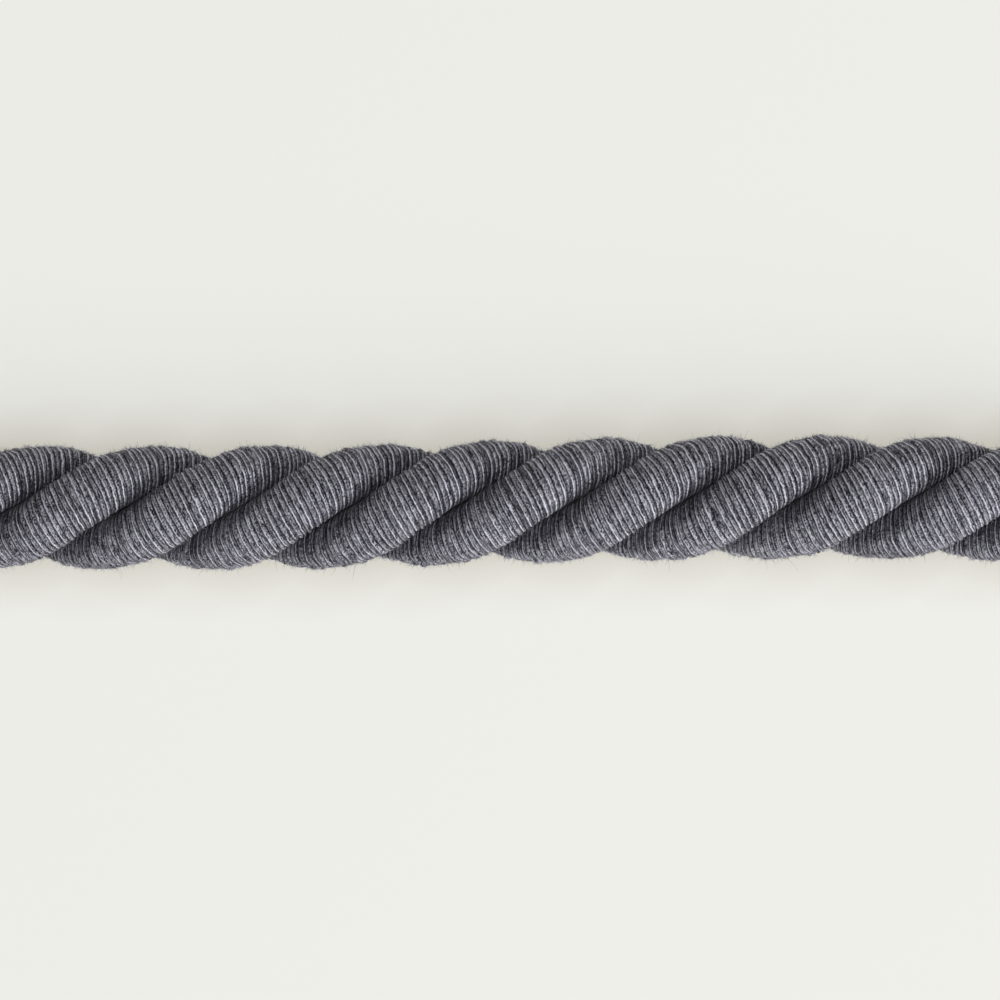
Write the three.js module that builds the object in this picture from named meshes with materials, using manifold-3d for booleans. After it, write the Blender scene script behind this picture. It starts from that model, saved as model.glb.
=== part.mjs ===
import * as THREE from 'three';
import { mergeVertices } from 'three/addons/utils/BufferGeometryUtils.js';
import Module from 'manifold-3d';

// A three-strand furnishing cord, cut to length and lying on a surface.
// Millimetres, +Z up. The cord runs along X. The origin is on the surface, under the middle of the cord.

// The whole cord
const CORD_RADIUS = 6.0; // from the cord's axis to the crown of a strand
const LAY_LENGTH = 33.0; // one whole turn of a strand round the cord
const LAYS = 4; // whole turns in the cut length
const CORD_LENGTH = LAYS * LAY_LENGTH;
const CROWN_PRESS = 0.2; // how much of a crown is flattened by lying on the surface
const AXIS_HEIGHT = CORD_RADIUS - CROWN_PRESS;

// One strand, in the section across the cord: a round crown outside, pressed flat where it meets its
// neighbours, with a rounded shoulder between the two and a rounded inner edge near the cord's axis
const STRAND_NAMES = ['strand_a', 'strand_b', 'strand_c'];
const STRAND_ANGLE = (2 * Math.PI) / STRAND_NAMES.length;
const HALF_ANGLE = STRAND_ANGLE / 2;
const CROWN_RADIUS = 3.94;
const CROWN_CENTRE = CORD_RADIUS - CROWN_RADIUS; // how far the crown's centre is from the cord's axis
const SHOULDER_RADIUS = 2.2;
const INNER_EDGE_RADIUS = 0.5;
const STRAND_GAP = 0.4; // between two strands, across the cord: 0.3 clear, square to their slanting flanks

// How finely the round shapes are divided
const CROWN_STEPS = 8;
const SHOULDER_STEPS = 3;
const FLANK_STEPS = 2;
const INNER_EDGE_STEPS = 2;
const STATIONS_PER_LAY = 18;
const SAME_POINT = 0.01; // two outline points nearer than this are one

// The line that the cord lies along, seen from above: evenly spaced in x, with a slow sway in y
const CORD_LINE = [
  { x: -66.0, y: 0.0 },
  { x: -57.75, y: -0.16 },
  { x: -49.5, y: -0.34 },
  { x: -41.25, y: -0.46 },
  { x: -33.0, y: -0.51 },
  { x: -24.75, y: -0.52 },
  { x: -16.5, y: -0.48 },
  { x: -8.25, y: -0.3 },
  { x: 0.0, y: 0.0 },
  { x: 8.25, y: 0.18 },
  { x: 16.5, y: 0.32 },
  { x: 24.75, y: 0.42 },
  { x: 33.0, y: 0.51 },
  { x: 41.25, y: 0.5 },
  { x: 49.5, y: 0.36 },
  { x: 57.75, y: 0.17 },
  { x: 66.0, y: 0.0 },
];

// Finish of the wound yarn
const YARN_COLOUR = 0x76747c;
const YARN_ROUGHNESS = 0.95;

const wasm = await Module();
wasm.setup();

const cordLine = new THREE.CatmullRomCurve3(
  CORD_LINE.map((point) => new THREE.Vector3(point.x, point.y, AXIS_HEIGHT)),
  false,
  'catmullrom',
);

function arcPoints(out, across, radius, from, to, steps) {
  return new THREE.EllipseCurve(out, across, radius, radius, from, to).getPoints(steps);
}

// Points strictly between two others on the straight line that joins them
function pointsBetween(start, end, steps) {
  const points = [];
  for (let i = 1; i < steps; i += 1) {
    points.push(new THREE.Vector2().lerpVectors(start, end, i / steps));
  }
  return points;
}

// The centre of a shoulder's arc, and the angle where it takes over from the crown's arc. It touches the
// crown from inside, and the flank, which is set back by half the gap.
function shoulderPlace() {
  const fromFlank = STRAND_GAP / 2 + SHOULDER_RADIUS;
  const fromCrown = CROWN_RADIUS - SHOULDER_RADIUS;
  const nearest = CROWN_CENTRE * Math.cos(HALF_ANGLE);
  const aside = CROWN_CENTRE * Math.sin(HALF_ANGLE) - fromFlank;
  const alongFlank = nearest + Math.sqrt(fromCrown ** 2 - aside ** 2);
  const out = alongFlank * Math.cos(HALF_ANGLE) + fromFlank * Math.sin(HALF_ANGLE);
  const across = alongFlank * Math.sin(HALF_ANGLE) - fromFlank * Math.cos(HALF_ANGLE);
  return { out, across, crownEnd: Math.atan2(across, out - CROWN_CENTRE) };
}

// The outline of a strand, as points of (out from the cord's axis, across), counter-clockwise
function strandOutline() {
  const { out, across, crownEnd } = shoulderPlace();
  const flankEnd = HALF_ANGLE + Math.PI / 2;
  const innerEdge = (STRAND_GAP / 2 + INNER_EDGE_RADIUS) / Math.sin(HALF_ANGLE);
  const otherFlank = 2 * Math.PI - flankEnd;
  const crown = arcPoints(CROWN_CENTRE, 0, CROWN_RADIUS, -crownEnd, crownEnd, CROWN_STEPS);
  const left = arcPoints(out, across, SHOULDER_RADIUS, crownEnd, flankEnd, SHOULDER_STEPS);
  const inner = arcPoints(innerEdge, 0, INNER_EDGE_RADIUS, flankEnd, otherFlank, INNER_EDGE_STEPS);
  const right = arcPoints(out, -across, SHOULDER_RADIUS, -flankEnd, -crownEnd, SHOULDER_STEPS);
  const leftFlank = pointsBetween(left.at(-1), inner[0], FLANK_STEPS);
  const rightFlank = pointsBetween(inner.at(-1), right[0], FLANK_STEPS);
  const outline = [...crown, ...left, ...leftFlank, ...inner, ...rightFlank, ...right];
  return outline.filter((point, i) => point.distanceTo(outline.at(i - 1)) > SAME_POINT);
}

// A point of the outline, carried to its place on a strand that winds left-handed round the cord
function onStrand(point, x, phase) {
  const angle = (2 * Math.PI * x) / LAY_LENGTH - phase;
  const middle = cordLine.getPoint(x / CORD_LENGTH + 0.5);
  const y = middle.y - point.x * Math.sin(angle) + point.y * Math.cos(angle);
  const z = middle.z - point.x * Math.cos(angle) - point.y * Math.sin(angle);
  return [x, y, z];
}

// The two sides of the outline are split mirror-wise into triangles, so facing flanks stay parallel
function sideTriangles(outline, station) {
  const triangles = [];
  outline.forEach((point, i) => {
    const next = (i + 1) % outline.length;
    const a = station * outline.length + i;
    const b = station * outline.length + next;
    const c = b + outline.length;
    const d = a + outline.length;
    if (point.y + outline[next].y > 0) {
      triangles.push(a, b, c, a, c, d);
    } else {
      triangles.push(a, b, d, b, c, d);
    }
  });
  return triangles;
}

function strandGeometry(outline, phase) {
  const stations = LAYS * STATIONS_PER_LAY;
  const positions = [];
  const triangles = [];
  for (let station = 0; station <= stations; station += 1) {
    const x = CORD_LENGTH * (station / stations - 0.5);
    outline.forEach((point) => positions.push(...onStrand(point, x, phase)));
  }
  for (let station = 0; station < stations; station += 1) {
    triangles.push(...sideTriangles(outline, station));
  }
  const lastRing = stations * outline.length;
  THREE.ShapeUtils.triangulateShape(outline, []).forEach(([a, b, c]) => {
    triangles.push(c, b, a);
    triangles.push(lastRing + a, lastRing + b, lastRing + c);
  });
  const geometry = new THREE.BufferGeometry();
  geometry.setAttribute('position', new THREE.Float32BufferAttribute(positions, 3));
  geometry.setIndex(triangles);
  return geometry;
}

function toSolid(geometry) {
  const bare = geometry.clone();
  bare.deleteAttribute('normal');
  bare.deleteAttribute('uv');
  const merged = mergeVertices(bare);
  return new wasm.Manifold(
    new wasm.Mesh({
      numProp: 3,
      vertProperties: new Float32Array(merged.attributes.position.array),
      triVerts: new Uint32Array(merged.index.array),
    }),
  );
}

function toGeometry(solid) {
  const mesh = solid.getMesh();
  const geometry = new THREE.BufferGeometry();
  geometry.setAttribute('position', new THREE.Float32BufferAttribute(mesh.vertProperties, 3));
  geometry.setIndex([...mesh.triVerts]);
  geometry.computeVertexNormals();
  return geometry;
}

// The room above the surface, a little larger than the cord on every other side
function roomAbove() {
  const margin = CORD_RADIUS;
  const across = 4 * CORD_RADIUS;
  const geometry = new THREE.BoxGeometry(CORD_LENGTH + margin, across, across);
  geometry.translate(0, 0, across / 2);
  return toSolid(geometry);
}

// What would reach below the surface is pressed flat against it
function strand(name, phase) {
  const round = toSolid(strandGeometry(strandOutline(), phase));
  const resting = round.intersect(roomAbove());
  const material = new THREE.MeshStandardMaterial({
    color: YARN_COLOUR,
    roughness: YARN_ROUGHNESS,
    metalness: 0,
  });
  const mesh = new THREE.Mesh(toGeometry(resting), material);
  mesh.name = name;
  return mesh;
}

const cord = new THREE.Group();
cord.name = 'spun_cord';
STRAND_NAMES.forEach((name, i) => cord.add(strand(name, i * STRAND_ANGLE)));

export default cord;
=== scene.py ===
import math

import bmesh
import bpy
import numpy as np
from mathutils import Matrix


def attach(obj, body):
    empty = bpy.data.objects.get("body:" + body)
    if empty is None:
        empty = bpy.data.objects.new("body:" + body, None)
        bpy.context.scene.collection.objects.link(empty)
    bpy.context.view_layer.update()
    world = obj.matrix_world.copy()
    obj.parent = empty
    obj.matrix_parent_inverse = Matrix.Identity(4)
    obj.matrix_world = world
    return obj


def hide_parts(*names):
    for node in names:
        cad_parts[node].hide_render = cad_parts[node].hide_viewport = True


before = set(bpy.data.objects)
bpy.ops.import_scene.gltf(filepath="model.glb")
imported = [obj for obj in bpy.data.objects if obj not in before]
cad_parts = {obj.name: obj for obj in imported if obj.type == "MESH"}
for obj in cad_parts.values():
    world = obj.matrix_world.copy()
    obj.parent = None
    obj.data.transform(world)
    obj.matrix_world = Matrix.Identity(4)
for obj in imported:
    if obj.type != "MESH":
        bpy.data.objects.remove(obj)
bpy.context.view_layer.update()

MM = 0.001

# The cord, as in the CAD, in metres
CORD_RADIUS = 6.0 * MM
LAY_LENGTH = 33.0 * MM
LAYS = 4
CORD_LENGTH = LAYS * LAY_LENGTH
CROWN_PRESS = 0.2 * MM
AXIS_HEIGHT = CORD_RADIUS - CROWN_PRESS
STRANDS = ("strand_a", "strand_b", "strand_c")
STRAND_ANGLE = 2 * math.pi / len(STRANDS)
HALF_ANGLE = STRAND_ANGLE / 2
TURN_RATE = 2 * math.pi / LAY_LENGTH
CROWN_RADIUS = 3.94 * MM
CROWN_CENTRE = CORD_RADIUS - CROWN_RADIUS
SHOULDER_RADIUS = 2.2 * MM
INNER_EDGE_RADIUS = 0.5 * MM
STRAND_GAP = 0.10 * MM  # less than in the CAD: real strands press together
STRAND_MIDDLE = 3.25 * MM  # from the cord's axis to the middle of a strand

# The line that the cord lies along, seen from above: x and y of points evenly spaced in x
CORD_LINE = [
    (-0.06600, 0.00000),
    (-0.05775, -0.00016),
    (-0.04950, -0.00034),
    (-0.04125, -0.00046),
    (-0.03300, -0.00051),
    (-0.02475, -0.00052),
    (-0.01650, -0.00048),
    (-0.00825, -0.00030),
    (0.00000, 0.00000),
    (0.00825, 0.00018),
    (0.01650, 0.00032),
    (0.02475, 0.00042),
    (0.03300, 0.00051),
    (0.04125, 0.00050),
    (0.04950, 0.00036),
    (0.05775, 0.00017),
    (0.06600, 0.00000),
]

# Steps round a strand
CROWN_STEPS = 20
SHOULDER_STEPS = 8
FLANK_STEPS = 2
INNER_EDGE_STEPS = 2

# The winding: yarns side by side, round and round each strand
YARNS = 2
THREADS_PER_LAY = 83
ROWS_PER_THREAD = 6
THREAD_PITCH = LAY_LENGTH / THREADS_PER_LAY  # along the cord
OVERRUN = 4.5 * MM  # wound past each cut, then trimmed
SHIFT_ROUNDS = 8  # enough for square_shift to settle
FIRST_SEED = 11

# The relief of the threads. The surface of the CAD lies SINK above the deepest valleys.
YARN_RISE = (0.27 * MM, 0.21 * MM)  # how far each yarn's ridge stands above the deepest valleys
RISE_SPREAD = 0.22
RISE_LIMITS = (0.4, 1.6)  # as share of the yarn's usual rise
RIDGE_SQUARENESS = 0.75  # 1 makes a ridge a parabola, and less makes it fuller
SINK = 0.195 * MM
VALLEY_LEVEL = (0.07 * MM, 0.00 * MM)  # how much less deep the valley after each yarn is
VALLEY_SPREAD = 0.04 * MM
VALLEY_RANGE = 0.16 * MM
FLANK_RISE = 0.25  # share of the relief that is left where strands press together
FLANK_REACH = 0.8 * MM  # how far from the next strand the relief is whole again
BULGES = 7  # slow waves in the strand's surface, with none, one, two and so on round the strand
BULGE = 0.025 * MM
BULGE_LENGTH = 4.0 * MM  # of the shortest waves along the cord

# Random unevenness along a yarn: how many values each turn has, which isn't a whole number, so that the
# values of neighbouring threads don't line up
QUICK_SWAY_VALUES = 6.37
SLOW_SWAY_VALUES = 0.7
SWELLING_VALUES = 5.23
CLOSENESS_VALUES = 1.3
WANDER = 0.19  # sideways, in threads
QUICK_SWAY_SHARE = 0.6
SLOW_SWAY_SHARE = 0.7
SMOOTHING = (0.25, 0.5, 0.25)
SMOOTHED_SIZE = 0.61  # what smoothing leaves of the values' size
SPARE = 4  # values, and turns, past the end of the yarn

# Painted shade in the crease: how dark the yarn is painted near the next strand, evenly so up to
# HOLLOW_START, and not at all past HOLLOW_END
HOLLOW_START = 0.5 * MM
HOLLOW_END = 3.1 * MM
PAINTED_HOLLOW_SHADE = 0.46

# The cut ends: rings inside the rim, as share of the rim's size, depth below the cut, and whether it is
# core
CUT_RINGS = [
    (0.91, 0.00 * MM, 0.0),
    (0.88, 0.12 * MM, 1.0),
    (0.62, 0.05 * MM, 1.0),
    (0.32, 0.02 * MM, 1.0),
]
CUT_PRECISION = 0.0001 * MM

# A second map without overlaps: the winding in strips one above another, with the cut ends above them
BAKE_MAP = "OFBake"
BAKE_STRIPS = 3
BAKE_HEIGHT = 0.93  # of the map, for the strips
BAKE_FILL = 0.97  # of each strip, so that the strips don't touch
CUT_PLACES = {-1: (0.0, 0.935), 1: (0.07, 0.935)}
CUT_PLACE_SIZE = 0.06
CUT_WIDTH = 7.0 * MM

# Loose fibres: how many on each strand, shortest and longest, radius at the root, and rings along each
FIBRES = [
    {"count": 22000, "shortest": 0.12 * MM, "longest": 0.50 * MM, "radius": 0.018 * MM, "rings": 1},
    {"count": 3600, "shortest": 0.30 * MM, "longest": 0.90 * MM, "radius": 0.019 * MM, "rings": 2},
    {"count": 160, "shortest": 0.90 * MM, "longest": 1.60 * MM, "radius": 0.016 * MM, "rings": 5},
]
FIBRE_SEED = 100
FIBRE_SIDES = 3
FIBRE_ROOT = 0.05 * MM  # how deep it starts below the ridge
FIBRE_TAPER = 0.6
FIBRE_STAND = (0.5, 1.6)  # how strongly it stands away from the strand, against a random heading
FIBRE_BEND = (0.1, 0.7)  # how far its tip is bent aside, as share of its length
FIBRE_LENGTH_SPREAD = (1.2, 2.4)  # of a beta distribution between shortest and longest
FUZZ_START = 3.3 * MM  # fibres stand where the strand's outline is farther out than this
CLEAR_OF_FLOOR = 1.0 * MM
CLEAR_OF_CUT = 0.6 * MM

# The yarn's light and dark. Waves are for each millimetre along the yarn and each thread across, and a
# spread takes a noise from between its first two numbers to between its last two.
LIGHT_YARN = (0.87, 0.86, 0.97, 1.0)
DARK_YARN = (0.011, 0.010, 0.021, 1.0)
THREAD_SHIFT = 7.31  # how far apart in the noise neighbouring threads are
STRAY_WAVES = (0.9, 0.8)
STRAY = 0.5  # of a thread, for the light line's sway
# Across a thread: a light line on one flank, partly the yarn's own light fibres and partly a painted
# highlight
LINE_STOPS = [(0.15, 0.0), (0.24, 1.0), (0.33, 1.0), (0.43, 0.0)]  # across a thread
LINE_WAVES = (0.25, 0.0)
LINE_SPREAD = (0.35, 0.65, 0.7, 1.75)
SECOND_LINE = -0.85  # how much weaker the light line of the second yarn is
SPECKLE_SPREAD = (0.36, 0.64, 0.3, 1.9)
# The flecks fade to none in the valleys between threads, as painted shade
VALLEY_SHADE_STOPS = [(0.05, 0.0), (0.45, 0.4), (0.85, 1.0)]  # from valley to ridge
BODY_TONES = (0.25, 0.19)  # for the first and second yarn
STREAK_WAVES = (0.6, 2.9)
STREAK_SHARE = 0.42
GRAIN_WAVES = (5.0, 3.2)
GRAIN_SHARE = 0.58
FLECK_SPREAD = (0.40, 0.60, -0.7, 3.2)
YARN_BUMP = 0.02 * MM
YARN_ROUGHNESS = 0.8
YARN_SHEEN = 0.09
SHEEN_ROUGHNESS = 0.5

# The core at the cut ends
CORE_COLOUR = (0.42, 0.41, 0.38, 1.0)
CORE_BLACK = (0.0, 0.0, 0.0, 1.0)
CORE_WAVES = 5000.0  # in each metre
CORE_SPREAD = (0.35, 0.65, 0.55, 1.2)

# The loose fibres' finish
FIBRE_COLOUR = (0.32, 0.315, 0.35)
FIBRE_WAVES = 900.0  # in each metre
FIBRE_SPREAD = (0.35, 0.65, 0.4, 1.6)
FIBRE_ROUGHNESS = 0.7
COTTON_SPECULAR = 0.25

# The floor. It glows, so that it is as evenly pale as paper, and less where something stands close to it:
# that dimming is painted shade.
FLOOR_SIZE = 3.0
FLOOR_COLOUR = (0.30, 0.30, 0.285, 1.0)
FLOOR_GLOW = (0.643, 0.642, 0.611, 1.0)
FLOOR_GLOW_PAINTED_SHADE = (0.345, 0.305, 0.215, 1.0)
FLOOR_NEARNESS = 7.0 * MM
FLOOR_SAMPLES = 8
FLOOR_ROUGHNESS = 0.9

# Camera and lights
PHOTO_SIZE = 1000  # pixels a side
PHOTO_SCALE = 0.0984 * MM  # size of a pixel at the height of the cord's axis
VIEW_CENTRE = (3.64 * MM, 0.27 * MM)
LENS = 150.0
SENSOR = 36.0
CLIP_START = 0.01
SKY_COLOUR = (1.0, 1.0, 1.0, 1.0)
SKY_STRENGTH = 0.15
LIGHTS = [
    {"name": "key", "azimuth": -42, "elevation": 31, "distance": 1.0, "size": 0.5, "energy": 6.4},
    {"name": "top", "azimuth": -50, "elevation": 84, "distance": 1.0, "size": 0.9, "energy": 3.0},
]


def cord_line_y(x):
    """The cord line's y at each x, as one smooth curve through its points."""
    line = np.array(CORD_LINE)
    step = line[1, 0] - line[0, 0]
    before = 2 * line[0, 1] - line[1, 1]
    after = 2 * line[-1, 1] - line[-2, 1]
    y = np.concatenate([[before], line[:, 1], [after]])
    place = np.clip((x - line[0, 0]) / step, 0, len(line) - 1)
    i = np.minimum(place.astype(int), len(line) - 2)
    t = place - i
    p0, p1, p2, p3 = y[i], y[i + 1], y[i + 2], y[i + 3]
    curve = 2 * p1 + (p2 - p0) * t
    curve = curve + (2 * p0 - 5 * p1 + 4 * p2 - p3) * t**2
    curve = curve + (3 * p1 - p0 - 3 * p2 + p3) * t**3
    return curve / 2


def arc(centre, radius, start, end, steps):
    """Points round an arc, without its last one, and their outward normals."""
    angle = start + (end - start) * np.arange(steps) / steps
    normal = np.stack([np.cos(angle), np.sin(angle)], axis=1)
    return np.array(centre) + radius * normal, normal


def straight(start, end, normal, steps):
    """Points along a straight flank, without its last one, and their normals."""
    t = np.arange(steps)[:, None] / steps
    return start + (end - start) * t, np.repeat(normal[None], steps, axis=0)


def shoulder_centre():
    """Where the shoulder's arc is centred: it touches the crown from inside, and the flank."""
    from_flank = STRAND_GAP / 2 + SHOULDER_RADIUS
    from_crown = CROWN_RADIUS - SHOULDER_RADIUS
    aside = CROWN_CENTRE * math.sin(HALF_ANGLE) - from_flank
    along = CROWN_CENTRE * math.cos(HALF_ANGLE) + math.sqrt(from_crown**2 - aside**2)
    out = along * math.cos(HALF_ANGLE) + from_flank * math.sin(HALF_ANGLE)
    across = along * math.sin(HALF_ANGLE) - from_flank * math.cos(HALF_ANGLE)
    return out, across


def strand_outline():
    """A strand's outline, as (out from the cord's axis, across) points and normals. It runs from the
    hidden inner edge along one flank, over the crown and back along the other flank."""
    out, across = shoulder_centre()
    crown_end = math.atan2(across, out - CROWN_CENTRE)
    flank_end = HALF_ANGLE + math.pi / 2
    inner = ((STRAND_GAP / 2 + INNER_EDGE_RADIUS) / math.sin(HALF_ANGLE), 0.0)
    right_normal = np.array([math.cos(flank_end), -math.sin(flank_end)])
    left_normal = right_normal * (1, -1)
    right_inner = inner + INNER_EDGE_RADIUS * right_normal
    right_outer = (out, -across) + SHOULDER_RADIUS * right_normal
    left_inner = right_inner * (1, -1)
    left_outer = right_outer * (1, -1)
    half_edge = INNER_EDGE_STEPS // 2
    parts = [
        arc(inner, INNER_EDGE_RADIUS, -math.pi, -flank_end, half_edge),
        straight(right_inner, right_outer, right_normal, FLANK_STEPS),
        arc((out, -across), SHOULDER_RADIUS, -flank_end, -crown_end, SHOULDER_STEPS),
        arc((CROWN_CENTRE, 0.0), CROWN_RADIUS, -crown_end, crown_end, CROWN_STEPS),
        arc((out, across), SHOULDER_RADIUS, crown_end, flank_end, SHOULDER_STEPS),
        straight(left_outer, left_inner, left_normal, FLANK_STEPS),
        arc(inner, INNER_EDGE_RADIUS, flank_end, math.pi, half_edge),
    ]
    points, normals = zip(*parts)
    return np.concatenate(points), np.concatenate(normals)


def round_shares(outline):
    """How far round the strand each outline point lies, from 0 to 1 with the closing point last, and how
    far it is all round."""
    steps = np.linalg.norm(np.roll(outline, -1, axis=0) - outline, axis=1)
    return np.concatenate([[0], np.cumsum(steps)]) / steps.sum(), steps.sum()


def square_shift(outline):
    """How far along the cord each outline point of one turn of yarn lies from the turn's middle. The turn
    lies square to the strand, which itself slants round the cord."""
    out, across = outline[:, 0], outline[:, 1]
    slant = STRAND_MIDDLE * TURN_RATE
    x = np.zeros(len(outline))
    for _ in range(SHIFT_ROUNDS):
        turn = TURN_RATE * x
        off = x + slant * (out * np.sin(turn) - across * np.cos(turn))
        slope = 1 + slant * TURN_RATE * (out * np.cos(turn) + across * np.sin(turn))
        x = x - off / slope
    return x


def on_strand(out, across, x, phase):
    """Where points of the outline lie on a strand that winds left-handed round the cord."""
    angle = TURN_RATE * x - phase
    y = cord_line_y(x) - out * np.sin(angle) + across * np.cos(angle)
    z = AXIS_HEIGHT - out * np.cos(angle) - across * np.sin(angle)
    return np.stack([x, y, z], axis=-1)


def unit(vectors):
    return vectors / np.linalg.norm(vectors, axis=-1, keepdims=True)


def strand_normal(out, across, normal, x, phase):
    """The outward normals of the smooth strand at those points."""
    angle = TURN_RATE * x - phase
    sine, cosine = np.sin(angle), np.cos(angle)
    ny = -normal[..., 0] * sine + normal[..., 1] * cosine
    nz = -normal[..., 0] * cosine - normal[..., 1] * sine
    along_y = TURN_RATE * (-out * cosine - across * sine)
    along_z = TURN_RATE * (out * sine - across * cosine)
    return unit(np.stack([-(ny * along_y + nz * along_z), ny, nz], axis=-1))


def uneven(rng, turns, values_per_turn):
    """A smooth random run of values along a yarn, about 1 in size, as a function of its turns."""
    count = int(turns * values_per_turn) + SPARE
    values = rng.normal(size=count)
    values = np.convolve(values, SMOOTHING, mode="same") / SMOOTHED_SIZE
    return lambda turn: np.interp(turn * values_per_turn + 1, np.arange(count), values)


def uneven_yarns(rng, threads, share):
    """How far each thread strays sideways, how far it rises, and how far the valley after it does, at each
    share of the way round. A thread's last point is the first one of the same yarn's next turn."""
    number = np.arange(-1, threads + 1)[:, None]
    turn = (threads - number) // YARNS + 1 + share[None]
    turns = threads // YARNS + SPARE
    sideways = np.zeros(turn.shape)
    rise = np.zeros(turn.shape)
    valley = np.zeros(turn.shape)
    for yarn in range(YARNS):
        own = number[:, 0] % YARNS == (threads + yarn) % YARNS
        quick_sway = uneven(rng, turns, QUICK_SWAY_VALUES)(turn[own])
        slow_sway = uneven(rng, turns, SLOW_SWAY_VALUES)(turn[own])
        swelling = uneven(rng, turns, SWELLING_VALUES)(turn[own])
        closeness = uneven(rng, turns, CLOSENESS_VALUES)(turn[own])
        sideways[own] = WANDER * (QUICK_SWAY_SHARE * quick_sway + SLOW_SWAY_SHARE * slow_sway)
        rise[own] = YARN_RISE[yarn] * np.clip(1 + RISE_SPREAD * swelling, *RISE_LIMITS)
        valley[own] = np.clip(VALLEY_LEVEL[yarn] + VALLEY_SPREAD * closeness, 0.0, VALLEY_RANGE)
    return sideways, rise, valley


def bulges(rng, x, share):
    """A slow random unevenness of the strand's surface, the same at both ends of a turn."""
    height = np.zeros(x.shape)
    for waves in range(BULGES):
        along = rng.uniform(-1, 1) / BULGE_LENGTH
        start = rng.uniform(0, 2 * math.pi)
        height = height + BULGE * np.cos(2 * math.pi * (waves * share + along * x) + start)
    return height


def thread_height(thread, part, rise, valley):
    """How high the winding stands above its deepest valleys, at each part of the way across a thread."""
    base = (1 - part) * valley[thread] + part * valley[thread + 1]
    ridge = (1 - (2 * part - 1) ** 2) ** RIDGE_SQUARENESS
    return base + (rise[thread + 1] - base) * ridge


def painted_hollow_shade(flank_distance):
    """Painted shade in the crease: what is left of the yarn's light tones, this far from the next strand.
    """
    away = np.clip((flank_distance - HOLLOW_START) / (HOLLOW_END - HOLLOW_START), 0, 1)
    return PAINTED_HOLLOW_SHADE + (1 - PAINTED_HOLLOW_SHADE) * (3 - 2 * away) * away**2


def winding(seed, phase):
    """The vertices and smooth normals of one strand's winding, in rows along it and columns round it, with
    each one's level, from valley to ridge, and its painted shade near the next strand."""
    rng = np.random.default_rng(seed)
    outline, normal = strand_outline()
    share = round_shares(outline)[0][:-1]
    threads = math.ceil((CORD_LENGTH + 2 * OVERRUN) / THREAD_PITCH)
    sideways, rise, valley = uneven_yarns(rng, threads, share)
    edge = (sideways[1:] + sideways[:-1]) / 2

    row = np.arange(threads * ROWS_PER_THREAD)
    thread = row // ROWS_PER_THREAD
    part = (row % ROWS_PER_THREAD / ROWS_PER_THREAD)[:, None]
    place = thread[:, None] + part + (1 - part) * edge[thread] + part * edge[thread + 1]
    x = (place - YARNS * share[None]) * THREAD_PITCH - CORD_LENGTH / 2 - OVERRUN + square_shift(outline)
    height = thread_height(thread, part, rise, valley)

    out = np.broadcast_to(outline[:, 0], x.shape)
    across = np.broadcast_to(outline[:, 1], x.shape)
    flank_distance = out * math.sin(HALF_ANGLE) - np.abs(across) * math.cos(HALF_ANGLE)
    relief = FLANK_RISE + (1 - FLANK_RISE) * np.clip(flank_distance / FLANK_REACH, 0, 1)
    raised = (height - SINK + bulges(rng, x, share)) * relief
    normals = strand_normal(out, across, np.broadcast_to(normal, (*x.shape, 2)), x, phase)
    points = on_strand(out, across, x, phase) + normals * raised[..., None]
    points[..., 2] = np.maximum(points[..., 2], 0.0)
    return points, normals, {"level": height / YARN_RISE[0], "shade": painted_hollow_shade(flank_distance)}


def winding_faces(rows, columns):
    """Four-sided faces between the rows and columns, with the row and column of each one's first corner.
    After the last column the yarn goes on in its next turn."""
    row, column = np.meshgrid(np.arange(rows - 1), np.arange(columns), indexing="ij")
    next_row = row - np.where(column + 1 == columns, YARNS * ROWS_PER_THREAD, 0)
    kept = next_row >= 0
    row, column, next_row = row[kept], column[kept], next_row[kept]
    first = row * columns + column
    second = next_row * columns + (column + 1) % columns
    return np.stack([first, second, second + columns, first + columns], axis=-1), row, column


def new_mesh(name, points, faces):
    """A mesh from an array of points and one of faces that all have as many sides."""
    mesh = bpy.data.meshes.new(name)
    mesh.vertices.add(len(points))
    mesh.vertices.foreach_set("co", points.reshape(-1).astype(np.float32))
    mesh.loops.add(faces.size)
    mesh.loops.foreach_set("vertex_index", faces.reshape(-1).astype(np.int32))
    mesh.polygons.add(len(faces))
    mesh.polygons.foreach_set("loop_start", np.arange(0, faces.size, faces.shape[1], dtype=np.int32))
    mesh.update(calc_edges=True)
    return mesh


def add_map(mesh, name, u, v):
    layer = mesh.uv_layers.new(name=name)
    layer.data.foreach_set("uv", np.stack([u, v], axis=-1).reshape(-1).astype(np.float32))


def add_winding_map(mesh, row, column):
    """Lays the winding out flat for its material: u in millimetres along the yarn, v in threads."""
    share, length = round_shares(strand_outline()[0])
    turn = row // ROWS_PER_THREAD // YARNS
    left, right = share[column] - turn, share[column + 1] - turn
    u = np.stack([left, right, right, left], axis=-1) * length / MM
    v = np.stack([row, row, row + 1, row + 1], axis=-1) / ROWS_PER_THREAD
    add_map(mesh, "winding", u, v)


def add_bake_map(mesh, row, column, rows):
    """Lays the winding out flat without overlaps."""
    share = round_shares(strand_outline()[0])[0]
    span = math.ceil(rows / BAKE_STRIPS)
    strip = row // span
    near = (row - strip * span) / span
    far = near + 1 / span
    sides = np.stack([share[column], share[column + 1]])
    left, right = (strip + BAKE_FILL * sides) * BAKE_HEIGHT / BAKE_STRIPS
    u = np.stack([near, near, far, far], axis=-1)
    v = np.stack([left, right, right, left], axis=-1)
    add_map(mesh, BAKE_MAP, u, v)


def add_values(mesh, name, values):
    layer = mesh.attributes.new(name, "FLOAT", "POINT")
    layer.data.foreach_set("value", values.reshape(-1).astype(np.float32))


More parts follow.
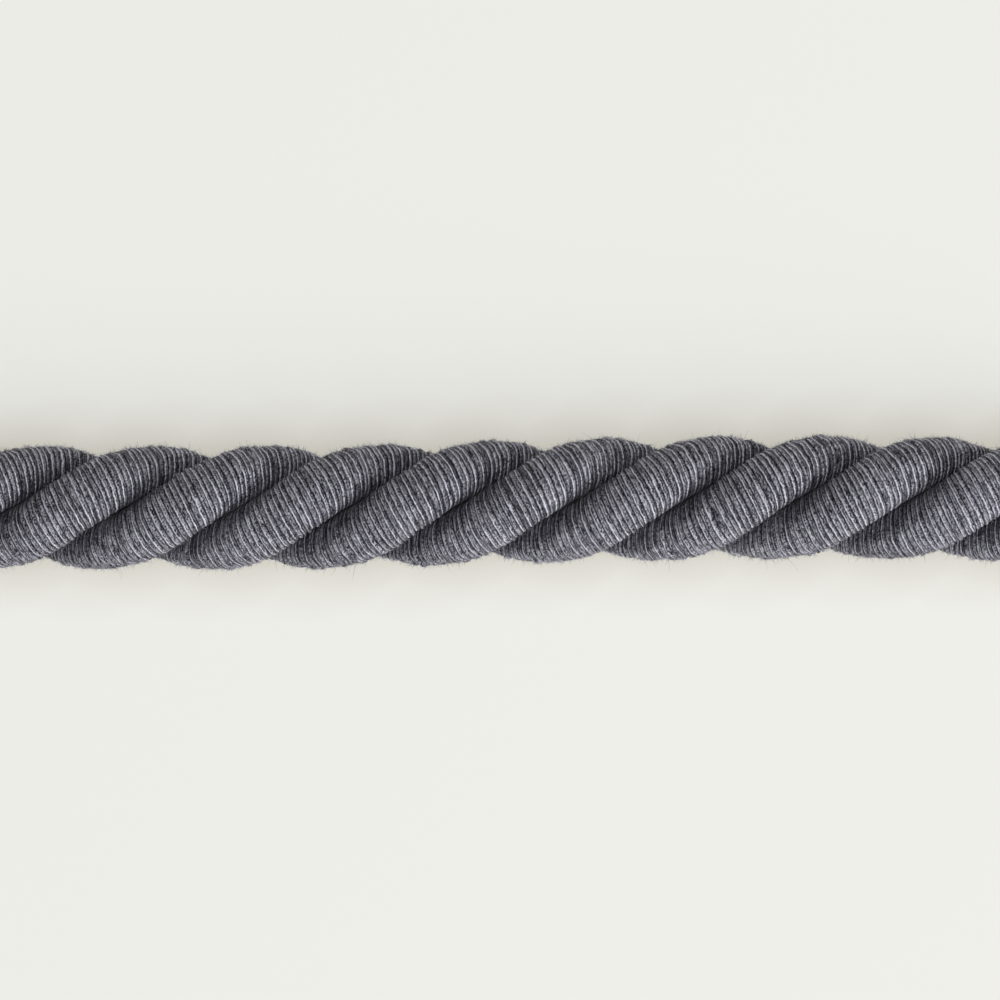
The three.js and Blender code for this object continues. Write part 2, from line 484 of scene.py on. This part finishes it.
def trim_ends(mesh):
    """Cuts the strand square to the cord at both ends, and closes each cut with rings."""
    work = bmesh.new()
    work.from_mesh(mesh)
    core = work.verts.layers.float.new("core")
    for side in (-1, 1):
        bmesh.ops.bisect_plane(
            work,
            geom=work.verts[:] + work.edges[:] + work.faces[:],
            plane_co=(side * CORD_LENGTH / 2, 0, 0),
            plane_no=(side, 0, 0),
            clear_outer=True,
            dist=CUT_PRECISION,
        )
        rim = [edge for edge in work.edges if edge.is_boundary and edge.verts[0].co.x * side > 0]
        caps = bmesh.ops.holes_fill(work, edges=rim, sides=0)["faces"]
        close_cut(work, max(caps, key=lambda face: len(face.verts)), side, core)
    work.to_mesh(mesh)
    work.free()


def close_cut(work, cap, side, core):
    """Divides a cut's face into rings: a rim of yarn, and a core a little below it."""
    rim = cap.verts[:]
    centre = cap.calc_center_median()
    work.faces.remove(cap)
    faces = []
    outer = rim
    for share, depth, is_core in CUT_RINGS:
        ring = []
        for corner in rim:
            vertex = work.verts.new(centre + (corner.co - centre) * share, corner)
            vertex.co.x -= side * depth
            vertex[core] = is_core
            ring.append(vertex)
        for i in range(len(ring)):
            faces.append(work.faces.new((outer[i - 1], outer[i], ring[i], ring[i - 1])))
        outer = ring
    middle = work.verts.new(centre)
    middle[core] = 1.0
    for i in range(len(outer)):
        faces.append(work.faces.new((outer[i - 1], outer[i], middle)))
    map_cut(work, faces, centre, CUT_PLACES[side])


def map_cut(work, faces, centre, corner):
    """Gives a cut end its own square of the bake map."""
    layer = work.loops.layers.uv[BAKE_MAP]
    for face in faces:
        for loop in face.loops:
            place = (loop.vert.co - centre) / CUT_WIDTH
            u = corner[0] + CUT_PLACE_SIZE * (place.y + 0.5)
            v = corner[1] + CUT_PLACE_SIZE * (place.z + 0.5)
            loop[layer].uv = (u, v)


def add_piece(name, mesh, material):
    mesh.materials.append(material)
    piece = bpy.data.objects.new(name, mesh)
    bpy.context.scene.collection.objects.link(piece)
    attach(piece, "root")
    return piece


def strand_mesh(name, points, values):
    """The winding as a mesh with its maps and values, trimmed and closed at both ends."""
    rows, columns, _ = points.shape
    faces, row, column = winding_faces(rows, columns)
    mesh = new_mesh(name, points.reshape(-1, 3), faces)
    add_winding_map(mesh, row, column)
    add_bake_map(mesh, row, column, rows)
    for value_name, value in values.items():
        add_values(mesh, value_name, value)
    trim_ends(mesh)
    mesh.shade_smooth()
    return mesh


def make_strand(name, phase, seed, yarn, fibre):
    points, normals, values = winding(seed, phase)
    strand = add_piece("wound_" + name, strand_mesh("wound_" + name, points, values), yarn)
    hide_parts(name)
    fuzz = make_fibres("loose_fibres_" + name[-1], points, normals, seed, fibre)


def fibre_places(points, normals, rng, count):
    """Random places on the part of the winding that shows, with their normals."""
    columns = np.nonzero(strand_outline()[0][:, 0] > FUZZ_START)[0]
    roots, outward = [], []
    while sum(map(len, roots)) < count:
        row = rng.integers(len(points), size=count)
        column = rng.choice(columns, size=count)
        root, normal = points[row, column], normals[row, column]
        inside = np.abs(root[:, 0]) < CORD_LENGTH / 2 - CLEAR_OF_CUT
        clear = inside & (root[:, 2] > CLEAR_OF_FLOOR)
        roots.append(root[clear])
        outward.append(normal[clear])
    return np.concatenate(roots)[:count], np.concatenate(outward)[:count]


def fibre_points(roots, outward, rng, kind):
    """The points of bent tubes that taper to a point: rings from the root on, and then the tip."""
    count, rings = len(roots), kind["rings"]
    chance = unit(rng.normal(size=(count, 3)))
    heading = unit(chance + outward * rng.uniform(*FIBRE_STAND, (count, 1)))
    bend = unit(rng.normal(size=(count, 3))) * rng.uniform(*FIBRE_BEND, (count, 1))
    spread = rng.beta(*FIBRE_LENGTH_SPREAD, (count, 1))
    length = kind["shortest"] + (kind["longest"] - kind["shortest"]) * spread
    side = unit(np.cross(heading, bend))
    other = np.cross(heading, side)
    start = roots - outward * FIBRE_ROOT
    points = np.zeros((count, FIBRE_SIDES * rings + 1, 3))
    for ring in range(rings):
        t = ring / rings
        middle = start + length * (heading * t + bend * t**2)
        radius = kind["radius"] * (1 - FIBRE_TAPER * t)
        for corner in range(FIBRE_SIDES):
            angle = 2 * math.pi * corner / FIBRE_SIDES
            away = math.cos(angle) * side + math.sin(angle) * other
            points[:, FIBRE_SIDES * ring + corner] = middle + radius * away
    points[:, -1] = start + length * (heading + bend)
    return points


def fibre_faces(rings):
    """The three-sided faces of one tube: its root, its sides and its tip."""
    faces = [(0, 2, 1)]
    corners = [(corner, (corner + 1) % FIBRE_SIDES) for corner in range(FIBRE_SIDES)]
    for ring in range(rings - 1):
        first = FIBRE_SIDES * ring
        for this, following in corners:
            a, b = first + this, first + following
            faces += [(a, b, b + FIBRE_SIDES), (a, b + FIBRE_SIDES, a + FIBRE_SIDES)]
    last = FIBRE_SIDES * (rings - 1)
    tip = FIBRE_SIDES * rings
    faces += [(last + this, last + following, tip) for this, following in corners]
    return np.array(faces)


def make_fibres(name, points, normals, seed, material):
    rng = np.random.default_rng(FIBRE_SEED + seed)
    all_points, all_faces = np.zeros((0, 3)), np.zeros((0, 3), int)
    for kind in FIBRES:
        roots, outward = fibre_places(points, normals, rng, kind["count"])
        tubes = fibre_points(roots, outward, rng, kind)
        first = len(all_points) + np.arange(len(tubes))[:, None, None] * tubes.shape[1]
        faces = fibre_faces(kind["rings"]) + first
        all_faces = np.concatenate([all_faces, faces.reshape(-1, 3)])
        all_points = np.concatenate([all_points, tubes.reshape(-1, 3)])
    all_points[:, 2] = np.maximum(all_points[:, 2], 0.0)
    mesh = new_mesh(name, all_points, all_faces)
    mesh.shade_smooth()
    return add_piece(name, mesh, material)


class Nodes:
    """Short ways to add nodes to a material."""

    def __init__(self, name):
        self.material = bpy.data.materials.new(name)
        self.material.use_nodes = True
        self.tree = self.material.node_tree
        self.shader = self.tree.nodes["Principled BSDF"]

    def add(self, kind, **settings):
        node = self.tree.nodes.new(kind)
        for key, value in settings.items():
            setattr(node, key, value)
        return node

    def put(self, value, socket):
        if isinstance(value, bpy.types.NodeSocket):
            self.tree.links.new(value, socket)
        else:
            socket.default_value = value

    def finish(self, sockets):
        """Sets or links sockets of the shader, by their names."""
        for name, value in sockets.items():
            self.put(value, self.shader.inputs[name])

    def math(self, operation, *values):
        node = self.add("ShaderNodeMath", operation=operation)
        for socket, value in zip(node.inputs, values):
            self.put(value, socket)
        return node.outputs[0]

    def value(self, name):
        """A value that the mesh carries."""
        return self.add("ShaderNodeAttribute", attribute_name=name).outputs["Fac"]

    def place(self, x, y, z):
        node = self.add("ShaderNodeCombineXYZ")
        for socket, value in zip(node.inputs, (x, y, z)):
            self.put(value, socket)
        return node.outputs[0]

    def noise(self, place, scale=1.0, detail=2.0, roughness=0.6):
        node = self.add("ShaderNodeTexNoise")
        self.put(place, node.inputs["Vector"])
        node.inputs["Scale"].default_value = scale
        node.inputs["Detail"].default_value = detail
        node.inputs["Roughness"].default_value = roughness
        return node.outputs["Fac"]

    def object_noise(self, waves):
        """Noise in the object's own space."""
        return self.noise(self.add("ShaderNodeTexCoord").outputs["Object"], waves)

    def curve(self, value, stops):
        """A value's answer from a short table of (position, answer) stops, smooth between them."""
        node = self.add("ShaderNodeValToRGB")
        ramp = node.color_ramp
        ramp.interpolation = "EASE"
        for _ in range(len(stops) - 2):
            ramp.elements.new(0.5)
        for element, (position, answer) in zip(ramp.elements, stops):
            element.position = position
            element.color = (answer, answer, answer, 1.0)
        self.put(value, node.inputs[0])
        return node.outputs[0]

    def spread(self, value, low, high, to_low, to_high):
        node = self.add("ShaderNodeMapRange")
        for socket, number in zip(node.inputs[1:5], (low, high, to_low, to_high)):
            socket.default_value = number
        self.put(value, node.inputs[0])
        return node.outputs[0]

    def mix(self, share, first, second):
        node = self.add("ShaderNodeMix", data_type="RGBA")
        self.put(share, node.inputs["Factor"])
        self.put(first, node.inputs["A"])
        self.put(second, node.inputs["B"])
        return node.outputs["Result"]

    def scaled(self, colour, scale):
        node = self.add("ShaderNodeVectorMath", operation="SCALE")
        node.inputs[0].default_value = colour
        self.put(scale, node.inputs["Scale"])
        return node.outputs[0]

    def bump(self, height, distance):
        node = self.add("ShaderNodeBump")
        node.inputs["Distance"].default_value = distance
        self.put(height, node.inputs["Height"])
        return node.outputs[0]


class YarnPlaces:
    """Where a point of the winding lies: along the yarn, on which thread, and how far across it."""

    def __init__(self, nodes):
        self.nodes = nodes
        winding_map = nodes.add("ShaderNodeUVMap", uv_map="winding")
        split = nodes.add("ShaderNodeSeparateXYZ")
        nodes.put(winding_map.outputs[0], split.inputs[0])
        self.along, threads = split.outputs[0], split.outputs[1]
        number = nodes.math("FLOOR", threads)
        self.part = nodes.math("FRACT", threads)
        self.yarn = nodes.math("MODULO", number, YARNS)
        self.shift = nodes.math("MULTIPLY", number, THREAD_SHIFT)

    def noise(self, waves, across, **settings):
        """Noise with this many waves along and across, different on each thread."""
        nodes = self.nodes
        u = nodes.math("MULTIPLY", self.along, waves[0])
        v = nodes.math("MULTIPLY", across, waves[1])
        return nodes.noise(nodes.place(u, v, self.shift), **settings)


def light_line_and_painted_highlight(nodes, places, across, grain):
    """The light line along one side of each thread: strong and weak by turns, and speckled. It is partly
    the yarn's own light fibres and partly a painted highlight on that flank.
    """
    line = nodes.curve(across, LINE_STOPS)
    slow = places.noise(LINE_WAVES, places.part)
    strength = nodes.math("MULTIPLY_ADD", places.yarn, SECOND_LINE, nodes.spread(slow, *LINE_SPREAD))
    speckle = nodes.spread(grain, *SPECKLE_SPREAD)
    brightness = nodes.math("MULTIPLY", nodes.math("MAXIMUM", strength, 0.0), speckle)
    return nodes.math("MULTIPLY", line, brightness)


def melange_and_valley_shade(nodes, places, flecks):
    """Light flecks on the body of each thread, and none in the valleys, where painted shade lies between
    threads.
    """
    body = nodes.curve(nodes.value("level"), VALLEY_SHADE_STOPS)
    fleck = nodes.math("MAXIMUM", nodes.spread(flecks, *FLECK_SPREAD), 0.0)
    tone = nodes.spread(places.yarn, 0.0, 1.0, *BODY_TONES)
    return nodes.math("MULTIPLY", nodes.math("MULTIPLY", body, fleck), tone)


def yarn_material():
    """Melange yarn in close turns, light on dark, with the pale core showing where the strand is cut."""
    nodes = Nodes("wound_yarn")
    places = YarnPlaces(nodes)
    stray = places.noise(STRAY_WAVES, places.part, detail=3.0)
    across = nodes.math("ADD", places.part, nodes.math("MULTIPLY_ADD", stray, STRAY, -STRAY / 2))
    streaks = places.noise(STREAK_WAVES, across)
    grain = places.noise(GRAIN_WAVES, places.part)
    flecks = nodes.math("MULTIPLY_ADD", streaks, STREAK_SHARE, nodes.math("MULTIPLY", grain, GRAIN_SHARE))
    light = nodes.math("ADD", light_line_and_painted_highlight(nodes, places, across, grain), melange_and_valley_shade(nodes, places, flecks))
    # painted shade near the next strand darkens the yarn's light tones
    amount = nodes.math("MINIMUM", nodes.math("MULTIPLY", light, nodes.value("shade")), 1.0)
    yarn = nodes.mix(amount, DARK_YARN, LIGHT_YARN)
    core = nodes.mix(nodes.spread(nodes.object_noise(CORE_WAVES), *CORE_SPREAD), CORE_BLACK, CORE_COLOUR)
    sockets = {
        "Base Color": nodes.mix(nodes.value("core"), yarn, core),
        "Normal": nodes.bump(flecks, YARN_BUMP),
        "Roughness": YARN_ROUGHNESS,
        "Specular IOR Level": COTTON_SPECULAR,
        "Sheen Weight": YARN_SHEEN,
        "Sheen Roughness": SHEEN_ROUGHNESS,
    }
    nodes.finish(sockets)
    return nodes.material


def fibre_material():
    """Single cotton fibres, some lighter than others."""
    nodes = Nodes("loose_fibre")
    lightness = nodes.spread(nodes.object_noise(FIBRE_WAVES), *FIBRE_SPREAD)
    sockets = {
        "Base Color": nodes.scaled(FIBRE_COLOUR, lightness),
        "Roughness": FIBRE_ROUGHNESS,
        "Specular IOR Level": COTTON_SPECULAR,
    }
    nodes.finish(sockets)
    return nodes.material


def floor_material():
    nodes = Nodes("floor")
    openness = nodes.add("ShaderNodeAmbientOcclusion", samples=FLOOR_SAMPLES)
    openness.inputs["Distance"].default_value = FLOOR_NEARNESS
    sockets = {
        "Base Color": FLOOR_COLOUR,
        # painted shade: the glow dims where something stands close
        "Emission Color": nodes.mix(openness.outputs["AO"], FLOOR_GLOW_PAINTED_SHADE, FLOOR_GLOW),
        "Emission Strength": 1.0,
        "Roughness": FLOOR_ROUGHNESS,
        "Specular IOR Level": 0.0,
    }
    nodes.finish(sockets)
    return nodes.material


def make_camera():
    width = PHOTO_SIZE * PHOTO_SCALE
    data = bpy.data.cameras.new("camera")
    data.lens = LENS
    data.sensor_width = SENSOR
    data.clip_start = CLIP_START
    camera = bpy.data.objects.new("camera", data)
    camera.location = (*VIEW_CENTRE, AXIS_HEIGHT + width * LENS / SENSOR)
    bpy.context.scene.collection.objects.link(camera)
    bpy.context.scene.camera = camera


def area_light(name, azimuth, elevation, distance, size, energy):
    """A square light that faces the middle of the cord. The azimuth is from +X towards +Y."""
    data = bpy.data.lights.new(name, "AREA")
    data.shape = "SQUARE"
    data.size = size
    data.energy = energy
    light = bpy.data.objects.new(name, data)
    level = distance * math.cos(math.radians(elevation))
    height = distance * math.sin(math.radians(elevation))
    turn = math.radians(azimuth)
    light.location = (level * math.cos(turn), level * math.sin(turn), height)
    light.rotation_euler = (math.radians(90 - elevation), 0, turn + math.pi / 2)
    bpy.context.scene.collection.objects.link(light)


def make_sky():
    world = bpy.data.worlds.new("studio")
    world.use_nodes = True
    background = world.node_tree.nodes["Background"]
    background.inputs["Color"].default_value = SKY_COLOUR
    background.inputs["Strength"].default_value = SKY_STRENGTH
    bpy.context.scene.world = world


def make_stage():
    bpy.ops.mesh.primitive_plane_add(size=FLOOR_SIZE)
    floor = bpy.context.object
    floor.name = "floor"
    floor.data.materials.append(floor_material())


make_camera()
YARN = yarn_material()
FIBRE = fibre_material()
for place, strand_name in enumerate(STRANDS):
    make_strand(strand_name, place * STRAND_ANGLE, FIRST_SEED + place, YARN, FIBRE)
make_stage()
make_sky()
for light in LIGHTS:
    area_light(**light)
bpy.context.scene.view_settings.view_transform = "Standard"
